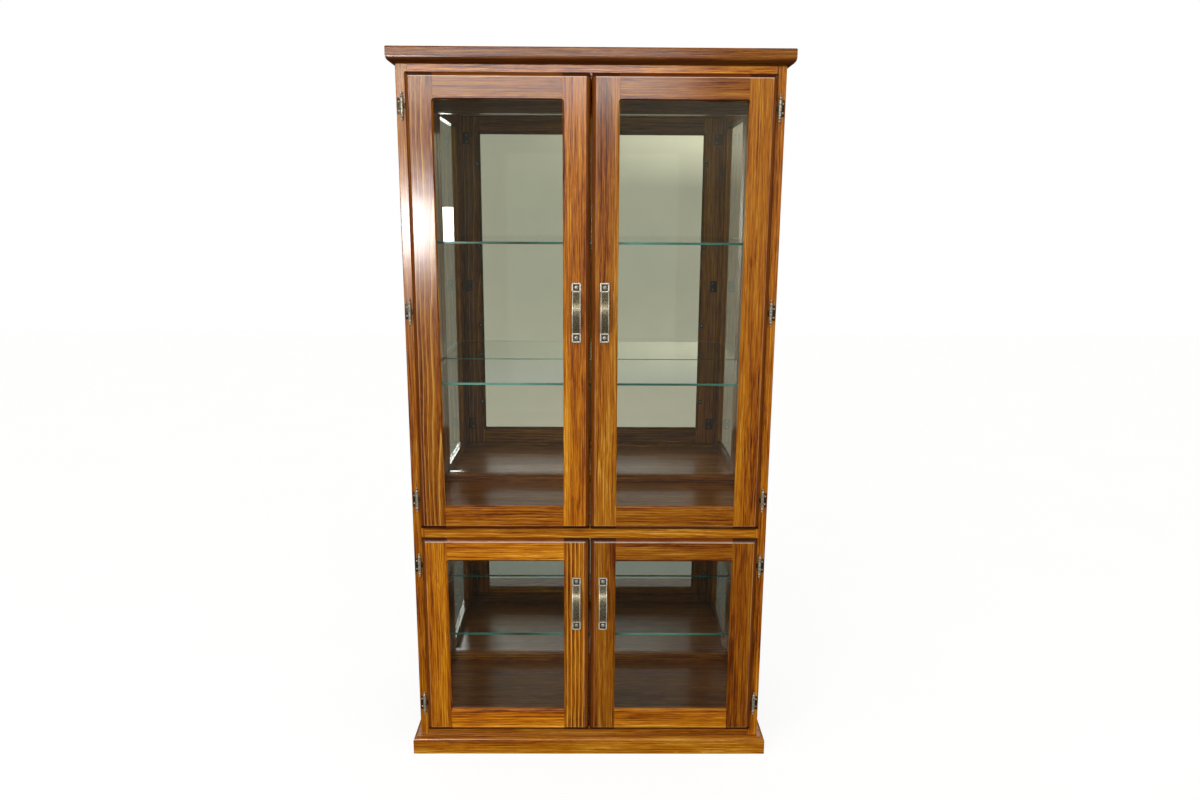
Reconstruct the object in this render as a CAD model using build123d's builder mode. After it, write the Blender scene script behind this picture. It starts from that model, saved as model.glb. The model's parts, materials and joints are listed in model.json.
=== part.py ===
import os

from build123d import *

os.makedirs("parts", exist_ok=True)

# Case, from the floor to the underside of the top
case_width = 950.0
case_depth = 457.0
case_height = 1844.0
board = 19.0
corner_ease = 2.0
floor_lift = 25.0

# Top board with its half-round nosing under a flat edge
top_thickness = 38.0
top_overhang = 19.0
top_round = 17.0
top_ease = 3.0

# Plinth moulding round the foot, mitred at the front corners
plinth_height = 48.0
plinth_thickness = 19.0
plinth_round = 10.0

# Lipped doors
side_reveal = 22.5
top_reveal = 18.0
mid_reveal = 26.0
base_reveal = 20.0
lower_door_height = 570.0
door_gap = 4.0
door_thickness = 19.0
lip_thickness = 9.5
lip_width = 9.5
lip_gap = 2.0
rebate_clearance = 2.5
stile_width = 68.0
rail_width = 65.0
field_step = 1.5
field_inset = 10.0
edge_round = 7.0
opening_break = 4.0
opening_corner = 6.0
opening_trim = 0.1

# Glass, laid in rebates behind the doors and in grooves in the side frames
pane_thickness = 3.0
pane_bite = 7.0
pane_clearance = 0.3
pane_setback = 9.5

# Side frames
side_front_stile = 49.0
side_rear_stile = 77.0
side_sill = 33.0
side_head = 5.0
rear_rail = 66.0
back_thickness = 6.0
back_bite = 9.5

# Mirrors and the strips in front of their feet
mirror_thickness = 4.0
mirror_clearance = 1.0
strip_height = 28.0
strip_depth = 19.0
strip_round = 3.0

# Glass shelves on pins
shelf_thickness = 6.0
shelf_clearance = 3.0
shelf_front = 24.0
shelf_back_gap = 4.0
shelf_ease = 0.6
lower_shelf_top = 338.0
middle_shelf_top = 1053.0
upper_shelf_top = 1421.0
pin_radius = 2.5
pin_clearance = 0.1
pin_hole_depth = 11.0
pin_reach = 10.0
pin_collar_radius = 4.5
pin_collar = 1.5
pin_front_inset = 30.0
pin_rear_inset = 42.0

# Finial hinges
hinge_inset = 80.0
hinge_height = 39.0
barrel_radius = 4.0
barrel_lift = 0.2
hinge_offset = 8.4
hinge_pin_radius = 1.5
hinge_pin_clearance = 0.05
knuckle_share = 0.31
knuckle_gap = 0.3
leaf_thickness = 1.4
wrap_thickness = 1.2
wrap_gap = 0.3
frame_leaf_reach = 11.5
door_leaf_reach = 24.0
leaf_corner = 2.0
bead_radius = 3.9
bead_height = 7.8
bead_ease = 2.1
ball_radius = 2.5
ball_height = 7.2
ball_ease = 1.4
barrel_sides = 12
turned_sides = 8

# Bow handles
handle_centres = 128.0
handle_rise = 28.0
lower_handle_drop = 186.0
pad_length = 24.0
pad_width = 23.5
pad_thickness = 4.0
pad_rim = 2.6
pad_recess = 1.6
strap_width = 21.5
strap_thickness = 3.5
strap_rim = 2.2
strap_dish = 0.6
knob_radius = 5.6
knob_rise = 2.4
knob_ease = 1.5

# Places worked out from the sizes above
half = case_width / 2
door_proud = lip_gap + lip_thickness
face = -(case_depth - door_proud - handle_rise) / 2
back = face + case_depth
door_front = face - door_proud
lip_back = face - lip_gap
door_back = door_front + door_thickness
door_edge = half - side_reveal
lip_overlay = lip_width - rebate_clearance
lower_door_base = plinth_height + base_reveal
lower_door_top = lower_door_base + lower_door_height
upper_door_base = lower_door_top + mid_reveal
upper_door_top = case_height - top_reveal
inside = half - board
frame_opening = door_edge - lip_overlay
frame_back = face + board
back_front = back - back_thickness
mirror_front = back_front - mirror_thickness
lower_floor = floor_lift + board
mid_rail_base = lower_door_top - lip_overlay
mid_rail_top = upper_door_base + lip_overlay
divider_base = (mid_rail_base + mid_rail_top - board) / 2
upper_floor = divider_base + board
pane_front = door_front + pane_setback
hinge_x = door_edge + hinge_offset
hinge_y = face - barrel_lift - barrel_radius
handle_x = (door_gap + stile_width) / 2
sides = {"left": -1, "right": 1}
stories = {"lower": (lower_door_base, lower_door_top), "upper": (upper_door_base, upper_door_top)}
hinge_levels = {
    "lower": (lower_door_base + hinge_inset, lower_door_top - hinge_inset),
    "upper": (
        upper_door_base + hinge_inset,
        (upper_door_base + upper_door_top) / 2,
        upper_door_top - hinge_inset,
    ),
}
handle_levels = {
    "lower": lower_door_top - lower_handle_drop,
    "upper": (upper_door_base + upper_door_top) / 2,
}
side_openings = {
    "lower": (lower_floor + side_sill, divider_base - side_head),
    "upper": (upper_floor + side_sill, case_height - rear_rail),
}
pin_rows = (frame_back + pin_front_inset, back - pin_rear_inset)
shelf_levels = {"lower": lower_shelf_top, "middle": middle_shelf_top, "upper": upper_shelf_top}
upright = (Align.CENTER, Align.CENTER, Align.MIN)


def save(builder, node):
    builder.part.label = node
    export_step(builder.part, f"parts/{node}.step")


def block(x_span, y_span, z_span, mode=Mode.ADD):
    with BuildSketch(Plane.XY.offset(z_span[0])) as outline:
        with Locations((sum(x_span) / 2, sum(y_span) / 2)):
            Rectangle(abs(x_span[1] - x_span[0]), y_span[1] - y_span[0])
    extrude(outline.sketch, amount=z_span[1] - z_span[0], mode=mode)


def plain_board(node, x_span, y_span, z_span):
    with BuildPart() as piece:
        block(x_span, y_span, z_span)
    save(piece, node)


# Top board
with BuildPart() as top_board:
    block(
        (-half - top_overhang, half + top_overhang),
        (face - top_overhang, back),
        (case_height, case_height + top_thickness),
    )
    under = top_board.faces().sort_by(Axis.Z)[0].edges()
    fillet(under - under.sort_by(Axis.Y)[-1:], top_round)
    upper = top_board.faces().sort_by(Axis.Z)[-1].edges()
    fillet(upper - upper.sort_by(Axis.Y)[-1:], top_ease)
save(top_board, "top_board")

# Face frame
for word, sign in sides.items():
    with BuildPart() as frame_stile:
        block((sign * frame_opening, sign * half), (face, frame_back), (0, case_height))
        corner = frame_stile.edges().filter_by(Axis.Z).sort_by(Axis.Y)[:2].sort_by(Axis.X)
        fillet(corner[0] if sign < 0 else corner[-1], corner_ease)
    save(frame_stile, f"frame_stile_{word}")

frame_rails = {
    "bottom": (0, lower_door_base + lip_overlay),
    "middle": (mid_rail_base, mid_rail_top),
    "top": (upper_door_top - lip_overlay, case_height),
}
for word, z_span in frame_rails.items():
    plain_board(f"frame_rail_{word}", (-frame_opening, frame_opening), (face, frame_back), z_span)

# Side frames, grooved for glass, rabbeted for the back and drilled for the shelf pins
side_mid = inside + board / 2
glass_span = (frame_back + side_front_stile, back - side_rear_stile)
for word, sign in sides.items():
    with BuildPart() as side_frame:
        block((sign * inside, sign * half), (frame_back, back), (0, case_height))
        for z_span in side_openings.values():
            block((sign * inside, sign * half), glass_span, z_span, Mode.SUBTRACT)
            block(
                (
                    sign * side_mid - pane_thickness / 2 - pane_clearance,
                    sign * side_mid + pane_thickness / 2 + pane_clearance,
                ),
                (glass_span[0] - pane_bite, glass_span[1] + pane_bite),
                (z_span[0] - pane_bite, z_span[1] + pane_bite),
                Mode.SUBTRACT,
            )
        block(
            (sign * inside, sign * (inside + back_bite)),
            (back_front, back),
            (floor_lift, case_height),
            Mode.SUBTRACT,
        )
        # pin holes, eight-sided like their pins
        with BuildSketch(Plane.YZ.offset(sign * inside)):
            for level in shelf_levels.values():
                with Locations(*[(y, level - shelf_thickness - pin_radius) for y in pin_rows]):
                    RegularPolygon(pin_radius + pin_clearance, turned_sides)
        extrude(amount=sign * pin_hole_depth, mode=Mode.SUBTRACT)
    save(side_frame, f"side_frame_{word}")

    for story, z_span in side_openings.items():
        reach = pane_bite - pane_clearance
        plain_board(
            f"side_glass_{word}_{story}",
            (sign * side_mid - pane_thickness / 2, sign * side_mid + pane_thickness / 2),
            (glass_span[0] - reach, glass_span[1] + reach),
            (z_span[0] - pane_bite, z_span[1] + reach),
        )

# Floors, back and the rail across the top of the back
plain_board("bottom_panel", (-inside, inside), (frame_back, back_front), (floor_lift, lower_floor))
plain_board("divider_panel", (-inside, inside), (frame_back, back_front), (divider_base, upper_floor))
plain_board(
    "back_panel",
    (-inside - back_bite, inside + back_bite),
    (back_front, back),
    (floor_lift, case_height),
)
rear_rail_base = case_height - rear_rail
with BuildPart() as back_rail:
    block((-inside, inside), (mirror_front - board, mirror_front), (rear_rail_base, case_height))
    fillet(back_rail.edges().filter_by(Axis.X).group_by(Axis.Z)[0].sort_by(Axis.Y)[0], strip_round)
save(back_rail, "back_rail")

# Mirrors, each standing on its floor behind a strip
compartments = {"lower": (lower_floor, divider_base), "upper": (upper_floor, case_height)}
for word, (base, ceiling) in compartments.items():
    plain_board(
        f"mirror_{word}",
        (-inside + mirror_clearance, inside - mirror_clearance),
        (mirror_front, back_front),
        (base, ceiling - mirror_clearance),
    )
    with BuildPart() as strip:
        block((-inside, inside), (mirror_front - strip_depth, mirror_front), (base, base + strip_height))
        fillet(strip.edges().filter_by(Axis.X).group_by(Axis.Z)[-1].sort_by(Axis.Y)[0], strip_round)
    save(strip, f"mirror_strip_{word}")

# Plinth, front piece and two sides
outer = half + plinth_thickness
outer_front = face - plinth_thickness
with BuildPart() as plinth_front:
    with BuildSketch():
        with BuildLine():
            Polyline((-outer, outer_front), (outer, outer_front), (half, face), (-half, face), close=True)
        make_face()
    extrude(amount=plinth_height)
    fillet(plinth_front.edges().filter_by(Axis.X).group_by(Axis.Z)[-1].sort_by(Axis.Y)[0], plinth_round)
save(plinth_front, "plinth_front")

for word, sign in sides.items():
    with BuildPart() as plinth_side:
        with BuildSketch():
            with BuildLine():
                Polyline(
                    (sign * outer, outer_front),
                    (sign * outer, back),
                    (sign * half, back),
                    (sign * half, face),
                    close=True,
                )
            make_face()
        extrude(amount=plinth_height)
        rims = plinth_side.edges().filter_by(Axis.Y).group_by(Axis.Z)[-1].sort_by(Axis.X)
        fillet(rims[0] if sign < 0 else rims[-1], plinth_round)
    save(plinth_side, f"plinth_{word}")

# Glass shelves with seamed edges
for word, level in shelf_levels.items():
    with BuildPart() as shelf:
        block(
            (-inside + shelf_clearance, inside - shelf_clearance),
            (frame_back + shelf_front, mirror_front - shelf_back_gap),
            (level - shelf_thickness, level),
        )
        chamfer(shelf.edges().filter_by(Axis.X), shelf_ease)
    save(shelf, f"glass_shelf_{word}")

# Shelf pins, eight-sided: a shank in the side frame, a collar and an arm whose flat carries the glass
with BuildPart() as shelf_pin:
    with BuildSketch(Plane.YZ.offset(pin_clearance - pin_hole_depth)):
        RegularPolygon(pin_radius, turned_sides)
    extrude(amount=pin_hole_depth - pin_clearance)
    with BuildSketch(Plane.YZ):
        RegularPolygon(pin_collar_radius, turned_sides)
    extrude(amount=pin_collar)
    with BuildSketch(Plane.YZ.offset(pin_collar)):
        RegularPolygon(pin_radius, turned_sides, major_radius=False, rotation=180 / turned_sides)
    extrude(amount=pin_reach - pin_collar)

with BuildPart() as right_shelf_pin:
    mirror(shelf_pin.part, about=Plane.YZ)

with BuildPart() as shelf_pins:
    for sign in sides.values():
        for level in shelf_levels.values():
            for y in pin_rows:
                with Locations((sign * inside, y, level - shelf_thickness - pin_radius)):
                    add(right_shelf_pin.part if sign > 0 else shelf_pin.part)
save(shelf_pins, "shelf_pins")


# Doors
def door_blank(sign, base, top):
    near = sign * door_gap / 2
    far = sign * door_edge
    rebate = sign * (door_edge - lip_width)
    with BuildPart() as blank:
        with BuildSketch(Plane.XZ.offset(-lip_back)):
            with Locations(((near + far) / 2, (base + top) / 2)):
                Rectangle(abs(far - near), top - base)
        extrude(amount=lip_thickness - field_step)
        fillet(blank.faces().sort_by(Axis.Y)[0].edges(), edge_round)
        # the flat field stands a small step above the rounded edge
        with BuildSketch(Plane.XZ.offset(-door_front - field_step)):
            with Locations(((near + far) / 2, (base + top) / 2)):
                Rectangle(abs(far - near) - 2 * field_inset, top - base - 2 * field_inset)
        extrude(amount=field_step)
        with BuildSketch(Plane.XZ.offset(-door_back)):
            with Locations(((near + rebate) / 2, (base + top) / 2)):
                Rectangle(abs(rebate - near), top - base - 2 * lip_width)
        extrude(amount=door_thickness - lip_thickness)
        # the opening's front edge is broken as a cutter would, swinging round inside the square corners
        opening = (abs(far - near) - 2 * stile_width, top - base - 2 * rail_width)
        with BuildSketch(Plane.XZ.offset(-door_back)):
            with Locations(((near + far) / 2, (base + top) / 2)):
                RectangleRounded(opening[0] - 2 * opening_trim, opening[1] - 2 * opening_trim, opening_corner)
        extrude(amount=door_thickness, mode=Mode.SUBTRACT)
        chamfer(blank.faces().sort_by(Axis.Y)[0].inner_wires()[0].edges(), opening_break)
        with BuildSketch(Plane.XZ.offset(-door_back)):
            with Locations(((near + far) / 2, (base + top) / 2)):
                Rectangle(*opening)
        extrude(amount=door_thickness, mode=Mode.SUBTRACT)
        with BuildSketch(Plane.XZ.offset(-door_back)):
            with Locations(((near + far) / 2, (base + top) / 2)):
                Rectangle(
                    abs(far - near) - 2 * (stile_width - pane_bite),
                    top - base - 2 * (rail_width - pane_bite),
                )
        extrude(amount=door_thickness - pane_setback, mode=Mode.SUBTRACT)
    return blank


def door_member(node, blank, x_span, z_span):
    with BuildPart() as member:
        add(blank.part)
        block(x_span, (door_front, door_back), z_span, Mode.INTERSECT)
    save(member, node)


for word, sign in sides.items():
    for story, (base, top) in stories.items():
        blank = door_blank(sign, base, top)
        node = f"door_{story}_{word}"
        near, far = sign * door_gap / 2, sign * door_edge
        near_stile, far_stile = near + sign * stile_width, far - sign * stile_width
        door_member(f"{node}_meeting_stile", blank, (near, near_stile), (base, top))
        door_member(f"{node}_hinge_stile", blank, (far_stile, far), (base, top))
        door_member(f"{node}_bottom_rail", blank, (near_stile, far_stile), (base, base + rail_width))
        door_member(f"{node}_top_rail", blank, (near_stile, far_stile), (top - rail_width, top))
        reach = sign * (pane_bite - pane_clearance)
        plain_board(
            f"{node}_glass",
            (near_stile - reach, far_stile + reach),
            (pane_front, pane_front + pane_thickness),
            (base + rail_width - pane_bite, top - rail_width + pane_bite - pane_clearance),
        )


# Bow handle, modelled once on its own seat: a dished strap between two square screw pads
pad_inner = (handle_centres - pad_length) / 2
pad_places = [(0, end * handle_centres / 2) for end in (-1, 1)]
strap_foot = pad_inner - strap_thickness
with BuildPart() as handle:
    with BuildSketch(Plane.YZ.offset(-strap_width / 2)):
        with BuildLine():
            ThreePointArc((-pad_thickness, -pad_inner), (-handle_rise, 0), (-pad_thickness, pad_inner))
            Polyline((-pad_thickness, pad_inner), (0, pad_inner), (0, strap_foot))
            ThreePointArc((0, strap_foot), (strap_thickness - handle_rise, 0), (0, -strap_foot))
            Polyline((0, -strap_foot), (0, -pad_inner), (-pad_thickness, -pad_inner))
        make_face()
    extrude(amount=strap_width)
    dish_foot = strap_dish - pad_thickness
    with BuildSketch(Plane.YZ.offset(strap_rim - strap_width / 2)):
        with BuildLine():
            ThreePointArc((dish_foot, -pad_inner), (strap_dish - handle_rise, 0), (dish_foot, pad_inner))
            Polyline(
                (dish_foot, pad_inner),
                (-handle_rise - strap_dish, pad_inner),
                (-handle_rise - strap_dish, -pad_inner),
                (dish_foot, -pad_inner),
            )
        make_face()
    extrude(amount=strap_width - 2 * strap_rim, mode=Mode.SUBTRACT)
    with BuildSketch(Plane.XZ):
        with Locations(*pad_places):
            Rectangle(pad_width, pad_length)
    extrude(amount=pad_thickness)
    with BuildSketch(Plane.XZ.offset(pad_thickness)):
        with Locations(*pad_places):
            Rectangle(pad_width - 2 * pad_rim, pad_length - 2 * pad_rim)
    extrude(amount=-pad_recess, mode=Mode.SUBTRACT)
    # a screw head in each recess, eight-sided
    knob_seat = pad_thickness - pad_recess
    with BuildSketch(Plane.XZ.offset(knob_seat)):
        with Locations(*pad_places):
            RegularPolygon(knob_radius, turned_sides)
    extrude(amount=knob_rise)
    knob_top = -knob_seat - knob_rise
    chamfer(handle.edges().filter_by_position(Axis.Y, knob_top, knob_top), knob_ease)

for word, sign in sides.items():
    for story, level in handle_levels.items():
        with BuildPart() as placed_handle:
            with Locations((sign * handle_x, door_front, level)):
                add(handle.part)
        save(placed_handle, f"handle_{story}_{word}")


# Finial hinges: frame leaf with two knuckles, wrapped door leaf with the middle one, and pin;
# their turned forms have few sides, because each repeats ten times
knuckle = hinge_height * knuckle_share
mid_reach = hinge_height / 2 - knuckle - knuckle_gap
knuckle_space = barrel_radius + wrap_gap


def barrel(z_span):
    with BuildSketch(Plane.XY.offset(z_span[0])) as outline:
        with Locations((hinge_x, hinge_y)):
            RegularPolygon(barrel_radius, barrel_sides)
    extrude(outline.sketch, amount=z_span[1] - z_span[0])


def bore():
    with BuildSketch(Plane.XY.offset(-hinge_height / 2)) as outline:
        with Locations((hinge_x, hinge_y)):
            RegularPolygon(hinge_pin_radius + hinge_pin_clearance, turned_sides, major_radius=False)
    extrude(outline.sketch, amount=hinge_height, mode=Mode.SUBTRACT)


with BuildPart() as frame_leaf:
    block(
        (hinge_x, hinge_x + frame_leaf_reach),
        (face - leaf_thickness, face),
        (-hinge_height / 2, hinge_height / 2),
    )
    chamfer(frame_leaf.edges().filter_by(Axis.Y).group_by(Axis.X)[-1], leaf_corner)
    barrel((-hinge_height / 2, knuckle - hinge_height / 2))
    barrel((hinge_height / 2 - knuckle, hinge_height / 2))
    block(
        (hinge_x - knuckle_space, hinge_x + knuckle_space),
        (face - leaf_thickness, face),
        (-mid_reach - knuckle_gap, mid_reach + knuckle_gap),
        Mode.SUBTRACT,
    )
    bore()

web_in = door_edge - lip_width + wrap_gap
web_out = web_in + wrap_thickness
lip_side = face - wrap_gap
rear_side = door_back + wrap_gap
with BuildPart() as door_leaf:
    with BuildSketch(Plane.XY.offset(-hinge_height / 2)):
        with BuildLine():
            Polyline(
                (hinge_x, lip_side - wrap_thickness),
                (web_in, lip_side - wrap_thickness),
                (web_in, rear_side),
                (web_out - door_leaf_reach, rear_side),
                (web_out - door_leaf_reach, rear_side + wrap_thickness),
                (web_out, rear_side + wrap_thickness),
                (web_out, lip_side),
                (hinge_x, lip_side),
                close=True,
            )
        make_face()
    extrude(amount=hinge_height)
    chamfer(door_leaf.edges().filter_by(Axis.Y).group_by(Axis.X)[0], leaf_corner)
    for end in (-1, 1):
        cut = sorted((end * mid_reach, end * hinge_height / 2))
        block(
            (hinge_x - knuckle_space, hinge_x),
            (lip_side - wrap_thickness, lip_side),
            cut,
            Mode.SUBTRACT,
        )
    barrel((-mid_reach, mid_reach))
    bore()

# the pin, with a bead and a small ball on each end
tip = hinge_height / 2 + knuckle_gap / 2
with BuildPart() as ball:
    with BuildSketch(Plane.XY.offset(tip + bead_height)):
        RegularPolygon(ball_radius, turned_sides)
    extrude(amount=ball_height)
    chamfer(ball.faces().sort_by(Axis.Z)[-1].edges(), ball_ease)

with BuildPart() as hinge_pin:
    with BuildSketch(Plane.XY.offset(tip)):
        RegularPolygon(bead_radius, turned_sides)
    extrude(amount=bead_height)
    chamfer(hinge_pin.faces().filter_by(Axis.Z).edges(), bead_ease)
    add(ball.part)
    with BuildSketch(Plane.XY):
        RegularPolygon(hinge_pin_radius, turned_sides)
    extrude(amount=tip)
    mirror(about=Plane.XY)

every_hinge = [(sign, level) for sign in sides.values() for rows in hinge_levels.values() for level in rows]
with BuildPart() as hinge_pins:
    with Locations(*[(sign * hinge_x, hinge_y, level) for sign, level in every_hinge]):
        add(hinge_pin.part)
save(hinge_pins, "hinge_pins")

with BuildPart() as left_frame_leaf:
    mirror(frame_leaf.part, about=Plane.YZ)
with BuildPart() as left_door_leaf:
    mirror(door_leaf.part, about=Plane.YZ)


def hang(node, right_leaf, left_leaf, places):
    with BuildPart() as leaves:
        for sign, level in places:
            with Locations((0, 0, level)):
                add(right_leaf.part if sign > 0 else left_leaf.part)
    save(leaves, node)


hang("hinge_frame_leaves", frame_leaf, left_frame_leaf, every_hinge)
for word, sign in sides.items():
    for story, levels in hinge_levels.items():
        places = [(sign, level) for level in levels]
        hang(f"hinge_leaves_{story}_{word}", door_leaf, left_door_leaf, places)
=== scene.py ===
import json
import math

import bmesh
import bpy
from mathutils import Matrix, Vector


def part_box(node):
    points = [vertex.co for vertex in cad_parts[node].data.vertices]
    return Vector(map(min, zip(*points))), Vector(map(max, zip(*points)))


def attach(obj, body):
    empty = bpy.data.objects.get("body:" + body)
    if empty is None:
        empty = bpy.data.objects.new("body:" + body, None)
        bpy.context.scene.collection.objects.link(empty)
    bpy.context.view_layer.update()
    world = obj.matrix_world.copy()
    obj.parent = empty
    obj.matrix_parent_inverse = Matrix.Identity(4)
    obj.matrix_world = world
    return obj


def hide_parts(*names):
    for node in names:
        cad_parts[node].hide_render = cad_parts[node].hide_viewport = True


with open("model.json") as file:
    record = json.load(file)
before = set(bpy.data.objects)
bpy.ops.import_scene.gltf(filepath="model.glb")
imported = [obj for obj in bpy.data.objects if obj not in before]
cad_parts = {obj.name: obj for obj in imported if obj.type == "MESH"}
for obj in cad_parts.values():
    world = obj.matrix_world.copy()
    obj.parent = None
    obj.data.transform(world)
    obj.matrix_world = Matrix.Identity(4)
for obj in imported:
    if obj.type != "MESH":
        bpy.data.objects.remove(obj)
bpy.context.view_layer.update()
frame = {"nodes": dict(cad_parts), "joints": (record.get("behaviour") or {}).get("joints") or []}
nodes = frame["nodes"]
jointAt = {joint["child"]: Vector(joint["pos_m"]) for joint in frame["joints"]}
print("frame loaded,", len(nodes), "nodes")


# shader helpers

def startMaterial(name):
    material = bpy.data.materials.new(name)
    material.use_nodes = True
    return material, material.node_tree, material.node_tree.nodes["Principled BSDF"]


def feed(tree, node, inputs):
    for key, value in inputs.items():
        if isinstance(value, bpy.types.NodeSocket):
            tree.links.new(value, node.inputs[key])
        else:
            node.inputs[key].default_value = value
    return node


def addNode(tree, kind, inputs=None, **settings):
    node = tree.nodes.new("ShaderNode" + kind)
    for key, value in settings.items():
        setattr(node, key, value)
    return feed(tree, node, inputs or {})


def sums(tree, operation, *values):
    return addNode(tree, "Math", dict(enumerate(values)), operation=operation).outputs[0]


def vectors(tree, operation, *values):
    return addNode(tree, "VectorMath", dict(enumerate(values)), operation=operation).outputs[0]


def spread(tree, value, low, high, first=0.0, last=1.0, **settings):
    # carries a value from the range low..high to first..last
    inputs = {"Value": value, "From Min": low, "From Max": high, "To Min": first, "To Max": last}
    return addNode(tree, "MapRange", inputs, **settings).outputs[0]


def rampOf(tree, factor, stops):
    ramp = addNode(tree, "ValToRGB", {"Fac": factor})
    elements = ramp.color_ramp.elements
    while len(elements) < len(stops):
        elements.new(0.5)
    for element, (position, colour) in zip(elements, stops):
        element.position = position
        element.color = colour
    return ramp.outputs["Color"]


def mixColour(tree, factor, first, second, blend="MIX"):
    mix = addNode(tree, "Mix", {0: factor, 6: first, 7: second}, data_type="RGBA", blend_type=blend)
    return mix.outputs[2]


def mixShaders(tree, factor, first, second):
    return addNode(tree, "MixShader", {0: factor, 1: first, 2: second}).outputs[0]


def scaled(tree, coords, scale):
    return addNode(tree, "Mapping", {"Vector": coords, "Scale": scale}).outputs["Vector"]


def noise(tree, coords, scale, detail, roughness=0.5):
    inputs = {"Vector": coords, "Scale": scale, "Detail": detail, "Roughness": roughness}
    return addNode(tree, "TexNoise", inputs).outputs["Fac"]


def stretchedNoise(tree, coords, scale, detail, roughness=0.6):
    return noise(tree, scaled(tree, coords, scale), 1.0, detail, roughness)


def raisedBy(tree, height, strength, distance, normal=None):
    inputs = {"Height": height, "Strength": strength, "Distance": distance}
    if normal is not None:
        inputs["Normal"] = normal
    return addNode(tree, "Bump", inputs).outputs["Normal"]


# lacquered pine: growth rings round a pith off behind each board, under a clear gloss coat

pine = {
    "cream": (0.80, 0.44, 0.070, 1),
    "light": (0.60, 0.240, 0.0045, 1),
    "middle": (0.395, 0.110, 0.0008, 1),
    "dark": (0.150, 0.027, 0.0005, 1),
    "deep": (0.052, 0.009, 0.0006, 1),
    # pale colour of the painted highlight along the doors' field arris
    "paintedHighlight": (0.92, 0.72, 0.56, 1),
    "ringPitch": 0.0058,
    "wavePitch": 0.3142,  # pitch of the wave texture's rings at scale 1
    "alongStretch": 0.05,
    "sway": 0.012,
    "swayScale": (2.6, 5, 5),
    "knotPush": 0.016,
    "knotScale": (2.3, 9, 9),
    "bandScale": (1.1, 24, 24),
    "bandWeight": 1.15,
    "streakScale": (3.2, 190, 190),
    "streakWeight": 1.2,
    "fibreScale": (12, 520, 520),
    "fibreWeight": 1.6,
    "resinScale": (17, 260, 260),
    "resinShade": 0.5,
    "redLean": 0.25,
    # painted shade on faces turned downward
    "undersidePaintedShade": 0.85,
    "endGrainShade": 0.85,
    "edgeEase": 0.0009,
    "poreStrength": 0.25,
    "poreDepth": 0.0004,
    "lacquer": 0.9,
    "lacquerRoughness": 0.19,
    "filmScale": (11, 11, 11),
    "filmStrength": 0.3,
    "filmDepth": 0.0012,
    "lipWidth": 0.0100,  # from the door's outline in to its raised field
    "lipInside": 0.0094,  # the darkening, stain and painted shade, is full up to here
    "lipOutside": 0.0104,  # and gone from here on
    # how far the lip is painted darker: its stain and painted shade
    "lipStainAndShade": 0.76,
    "endShade": 0.88,
    "leanAtField": 0.35,  # how far the lip's normal leans at the field, and at the door's edge
    "leanAtEdge": 0.90,
    # where and how strongly that painted highlight runs
    "arris": 0.0107,
    "arrisHalf": 0.0009,
    "arrisHighlight": 0.25,
    "topHighlight": 1.1,
}
towardsX = {
    "x": Matrix.Identity(3),
    "y": Matrix.Rotation(math.radians(-90), 3, "Z"),
    "z": Matrix.Rotation(math.radians(90), 3, "Y"),
}


def boardCoordinates(tree, coords, grain, centre, pith, tilt, shift):
    # turns the board's grain to X, tilts it a little off the pith and sets the pith beside its middle
    sideTilt, upTilt = (math.radians(angle) for angle in tilt)
    turn = Matrix.Rotation(sideTilt, 3, "Z") @ Matrix.Rotation(upTilt, 3, "Y") @ towardsX[grain]
    place = Vector((shift, pith[0], pith[1])) - turn @ centre
    mapping = addNode(tree, "Mapping", {"Vector": coords, "Location": place, "Rotation": turn.to_euler()})
    along = mapping.outputs["Vector"]
    # the grain sways a little along the board
    waves = {"Vector": scaled(tree, along, pine["swayScale"]), "Scale": 1.0, "Detail": 2.0}
    swing = vectors(tree, "SUBTRACT", addNode(tree, "TexNoise", waves).outputs["Color"], (0.5, 0.5, 0.5))
    swing = vectors(tree, "MULTIPLY", swing, (0, pine["sway"], pine["sway"]))
    return vectors(tree, "ADD", along, swing)


def weighed(tree, value, weight):
    # how far a value stands from one half, times its weight
    return sums(tree, "MULTIPLY", sums(tree, "SUBTRACT", value, 0.5), weight)


def knotDistance(tree, along):
    turned = {"Vector": along, "Rotation": (math.radians(90), 0, 0), "Scale": pine["knotScale"]}
    cells = addNode(tree, "Mapping", turned).outputs["Vector"]
    inputs = {"Vector": cells, "Scale": 1.0, "Randomness": 0.85}
    return addNode(tree, "TexVoronoi", inputs, voronoi_dimensions="2D").outputs["Distance"]


def sawRings(tree, inputs):
    shape = {"wave_type": "RINGS", "rings_direction": "X", "wave_profile": "SAW"}
    return addNode(tree, "TexWave", inputs, **shape).outputs["Fac"]


def ringWaves(tree, squeezed, rings):
    inputs = {
        "Vector": squeezed,
        "Scale": pine["wavePitch"] / (pine["ringPitch"] * rings),
        "Distortion": 3.2,
        "Detail": 3.0,
        "Detail Scale": 0.30,
        "Detail Roughness": 0.55,
    }
    return sawRings(tree, inputs)


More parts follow.
